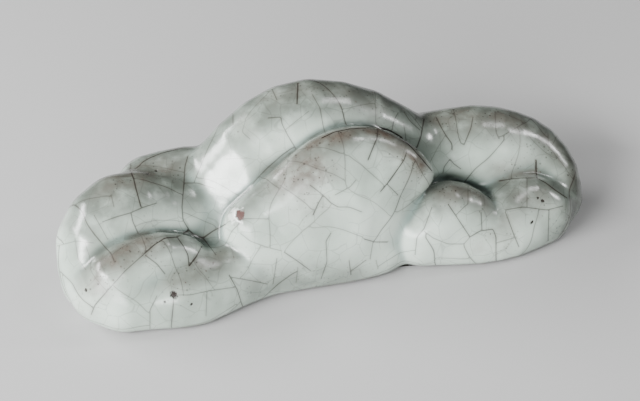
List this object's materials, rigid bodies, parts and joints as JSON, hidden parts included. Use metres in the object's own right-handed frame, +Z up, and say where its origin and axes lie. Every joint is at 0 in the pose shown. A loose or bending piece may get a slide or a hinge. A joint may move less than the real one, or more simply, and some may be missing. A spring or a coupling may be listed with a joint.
{
  "type": "brush rest",
  "caption": "Mountain-shaped brush rest: three rounded peaks with two saddles for brush handles, a flat foot and a crackled celadon glaze.",
  "frame": {"origin": "on the foot plane, midway along the range, on the upright seam between the front and back halves", "axes": "+X runs along the range to the right as seen from the front, +Y to the back, +Z up from the table"},
  "size_m": [0.1133, 0.0387, 0.0358],
  "materials": {
    "foot_clay": "bare fired stoneware, dark iron brown, matt",
    "body_clay": "fired stoneware, grey brown, hidden under the glaze",
    "celadon_glaze": "thick pale blue-green celadon glaze, glossy, with a dark crackle"
  },
  "bodies": {
    "root": {"base_slab": "foot_clay", "front_shell": "body_clay", "back_shell": "body_clay", "glaze_coat": "celadon_glaze"}
  },
  "joints": []
}
